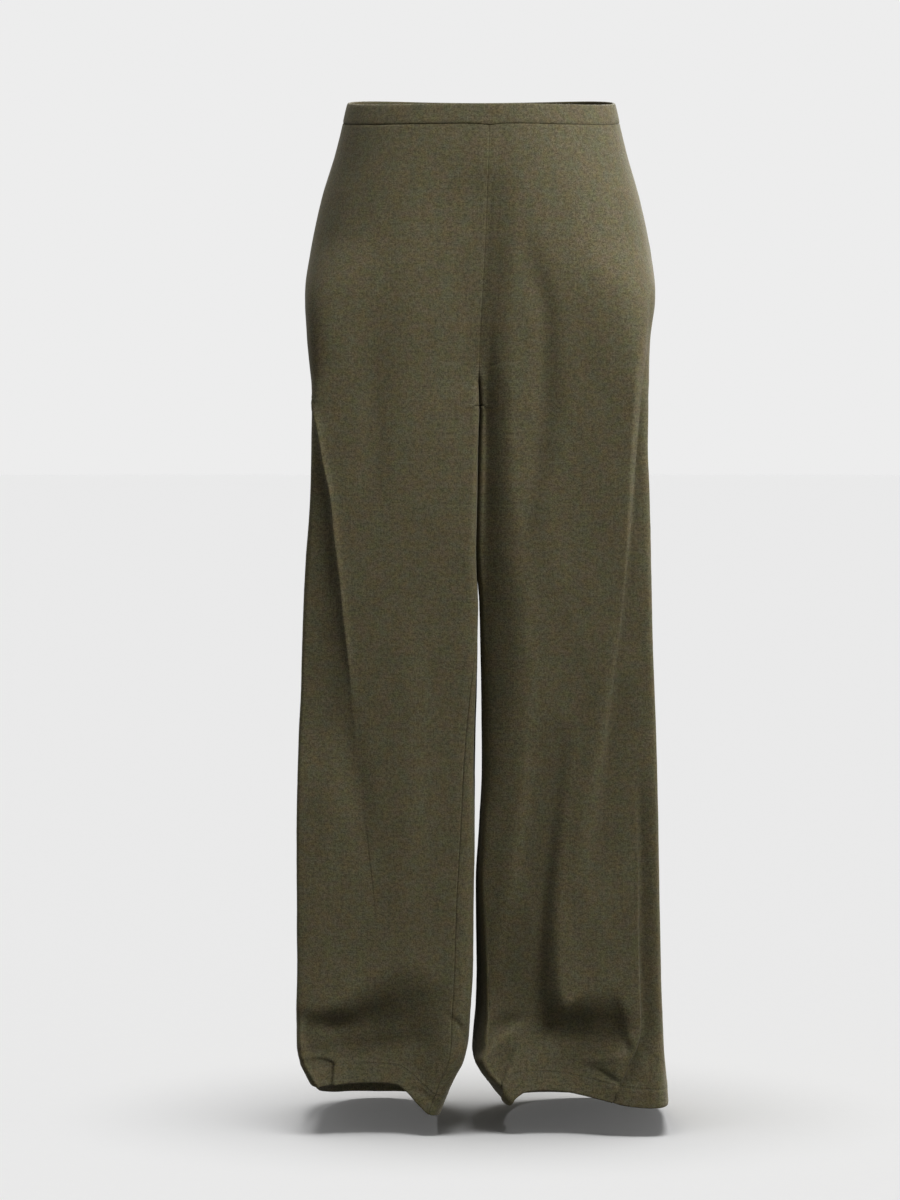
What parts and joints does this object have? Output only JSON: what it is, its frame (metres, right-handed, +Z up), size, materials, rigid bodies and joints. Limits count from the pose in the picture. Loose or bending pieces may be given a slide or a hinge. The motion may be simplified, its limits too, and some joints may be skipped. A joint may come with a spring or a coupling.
{
  "type": "trousers",
  "caption": "Wide straight-leg linen trousers in the hollow form they take when worn, open at the waist and hems, with a plain narrow waistband and turned-up hems.",
  "frame": {"origin": "middle of the waist opening, level with the top edge of the waistband at the centre front", "axes": "+Z up, +X towards the wearer's left side, -Y towards the front"},
  "size_m": [0.3831, 0.2579, 1.0561],
  "materials": {
    "linen": "matte, finely slubbed plain weave"
  },
  "bodies": {
    "root": {"front_leg_right": "linen", "front_leg_left": "linen", "back_leg_right": "linen", "back_leg_left": "linen", "waistband_front": "linen", "waistband_back": "linen"}
  },
  "joints": []
}
